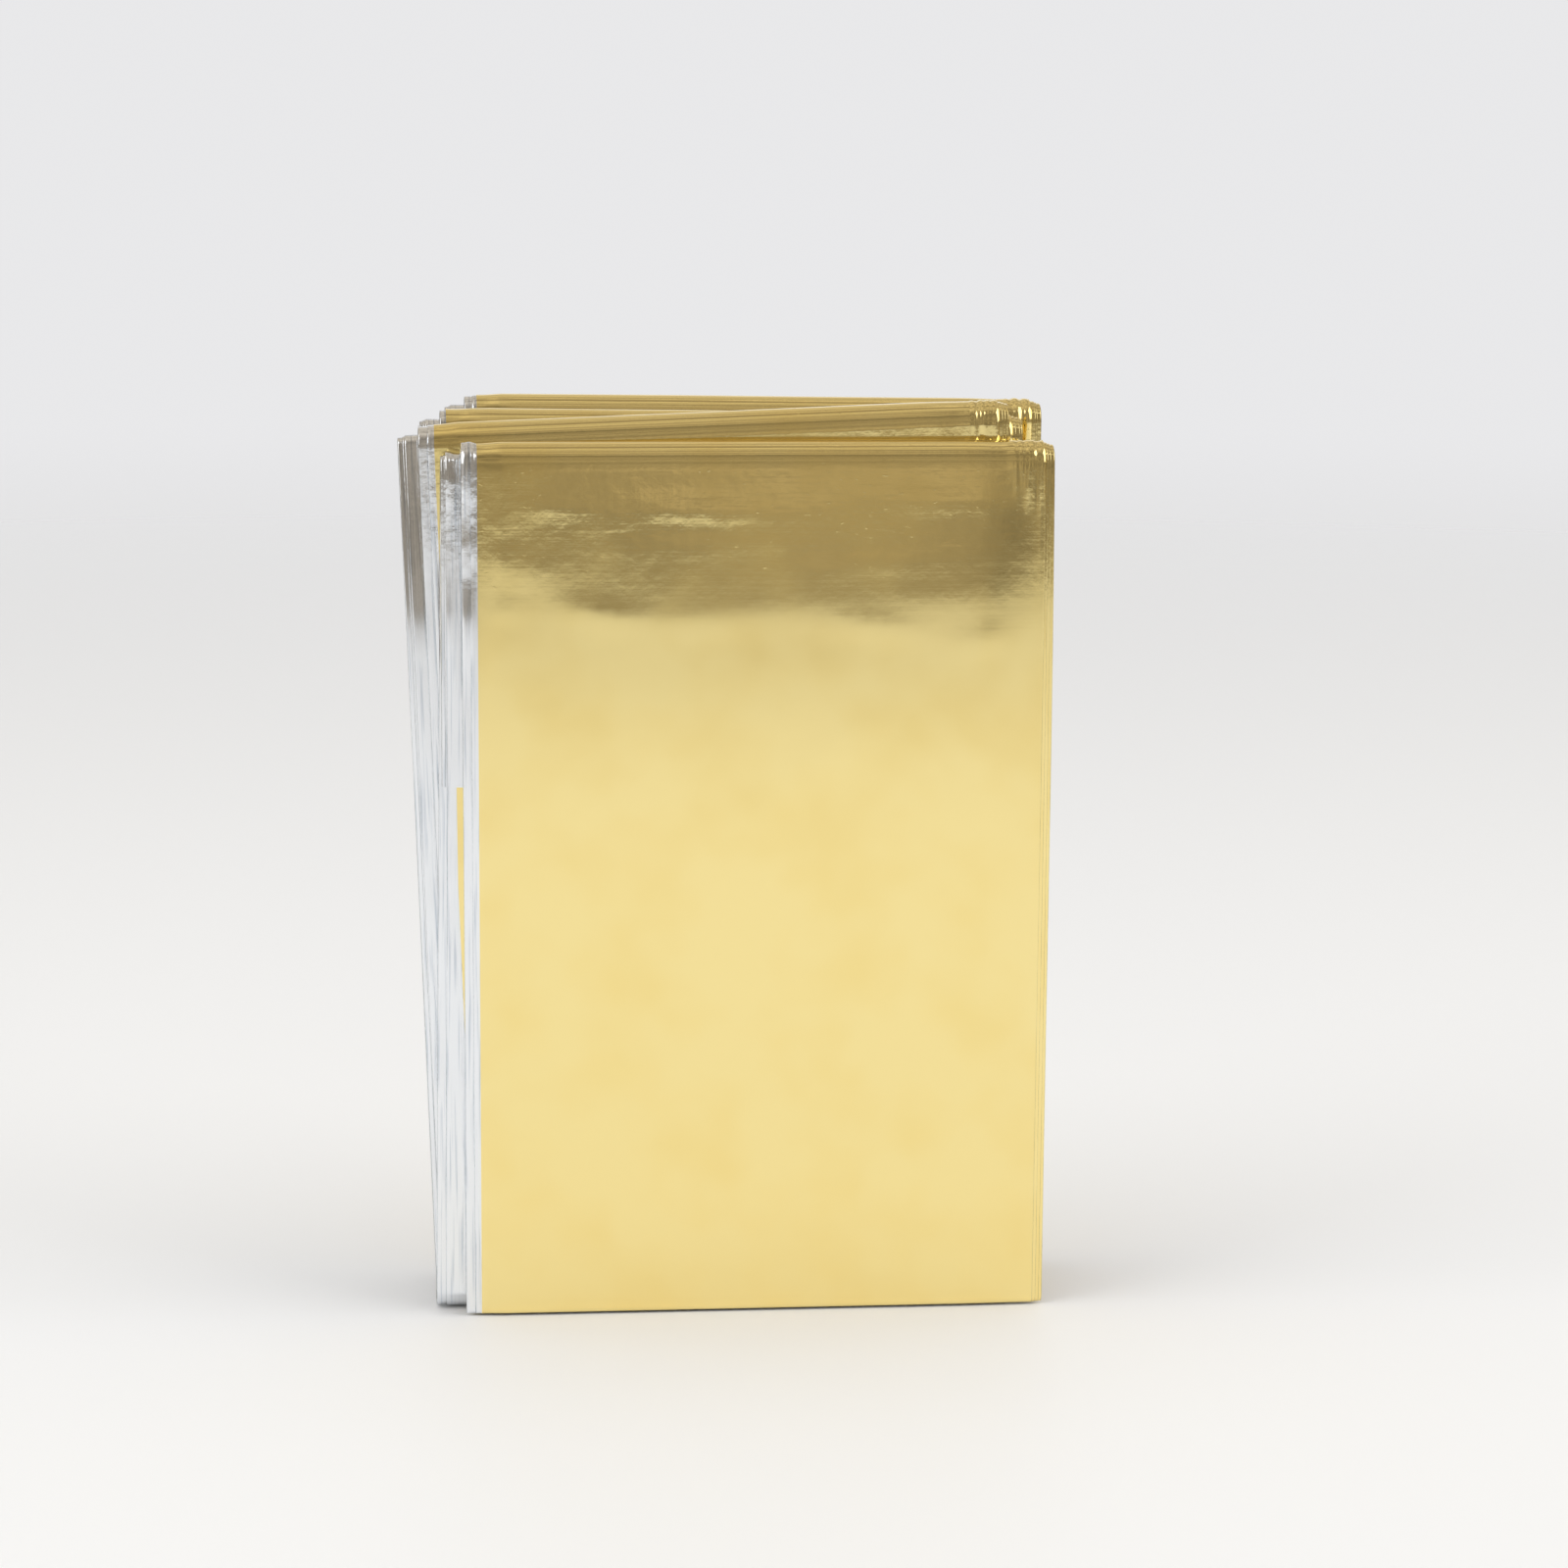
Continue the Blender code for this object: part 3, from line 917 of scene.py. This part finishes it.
def dim_room(tree):
    """What mirrored rays see: a dim warm room with soft bands, lighter overhead, and a backdrop behind."""
    link = tree.links.new
    direction = add_node(tree, "ShaderNodeTexCoord").outputs["Generated"]

    def pattern(stretch, low, high, to_low=0.0, to_high=1.0):
        mapping = add_node(tree, "ShaderNodeMapping", {"Scale": stretch})
        cloud = add_node(tree, "ShaderNodeTexNoise", CLOUD)
        contrast = add_node(tree, "ShaderNodeMapRange", {"From Min": low, "From Max": high, "To Min": to_low,
                                                         "To Max": to_high})
        link(direction, mapping.inputs["Vector"])
        link(mapping.outputs["Vector"], cloud.inputs["Vector"])
        link(cloud.outputs["Fac"], contrast.inputs["Value"])
        return contrast.outputs["Result"]

    def part_where(weights, start, end):
        dot = add_node(tree, "ShaderNodeVectorMath", operation="DOT_PRODUCT")
        dot.inputs[1].default_value = weights
        step = add_node(tree, "ShaderNodeMapRange", {"From Min": start, "From Max": end},
                        interpolation_type="SMOOTHSTEP")
        link(direction, dot.inputs[0])
        link(dot.outputs["Value"], step.inputs["Value"])
        return step.outputs["Result"]

    def mixed(factor, first, second):
        mix = add_node(tree, "ShaderNodeMix", data_type="RGBA")
        for socket, colour in (("A", first), ("B", second)):
            if isinstance(colour, str):
                mix.inputs[socket].default_value = ROOM[colour]
            else:
                link(colour, mix.inputs[socket])
        link(factor, mix.inputs["Factor"])
        return mix.outputs["Result"]

    bands = pattern(**BANDS)
    low = mixed(bands, "low dark", "low light")
    high = mixed(bands, "high dark", "high light")
    room = mixed(part_where(**OVERHEAD), low, high)
    uneven = add_node(tree, "ShaderNodeVectorMath", operation="SCALE")
    link(room, uneven.inputs[0])
    link(pattern(**UNEVENNESS), uneven.inputs["Scale"])
    return mixed(part_where(**BEHIND), uneven.outputs["Vector"], "backdrop")


def studio_world():
    world = bpy.data.worlds.new("studio")
    world.use_nodes = True
    tree = world.node_tree
    link = tree.links.new
    background = tree.nodes["Background"]
    path = add_node(tree, "ShaderNodeLightPath")
    mirrored = add_node(tree, "ShaderNodeMix", data_type="RGBA")
    mirrored.inputs["A"].default_value = FILL
    seen = add_node(tree, "ShaderNodeMix", data_type="RGBA")
    seen.inputs["B"].default_value = WALL
    link(dim_room(tree), mirrored.inputs["B"])
    link(path.outputs["Is Glossy Ray"], mirrored.inputs["Factor"])
    link(mirrored.outputs["Result"], seen.inputs["A"])
    link(path.outputs["Is Camera Ray"], seen.inputs["Factor"])
    link(seen.outputs["Result"], background.inputs["Color"])
    bpy.context.scene.world = world


studio_world()
bpy.context.scene.view_settings.view_transform = "Standard"

# %% [markdown]
# ## Camera
# The camera looks down at about ten degrees, a little from the left, through a long lens. Its place is worked
# out from the aim, the distance and the two angles, which are the numbers that one would correct by eye.

# %% Camera
CAMERA_YAW = math.radians(-5.4)
CAMERA_PITCH = math.radians(9.7)
CAMERA_ROLL = math.radians(0.35)
CAMERA_DISTANCE = 0.66
CAMERA_LENS, CAMERA_SENSOR = 98.5, 36
CAMERA_AIM = Vector((STRIP_MIDDLE + 5.1 * MM, 0.0, 80 * MM))


def photo_camera():
    data = bpy.data.cameras.new("camera")
    data.lens = CAMERA_LENS
    data.sensor_width = CAMERA_SENSOR
    camera = bpy.data.objects.new("camera", data)
    level = math.cos(CAMERA_PITCH)
    back = Vector((math.sin(CAMERA_YAW) * level, -math.cos(CAMERA_YAW) * level, math.sin(CAMERA_PITCH)))
    camera.location = CAMERA_AIM + back * CAMERA_DISTANCE
    turn = back.to_track_quat("Z", "Y").to_matrix() @ Matrix.Rotation(CAMERA_ROLL, 3, "Z")
    camera.rotation_euler = turn.to_euler()
    bpy.context.scene.collection.objects.link(camera)
    bpy.context.scene.camera = camera


photo_camera()
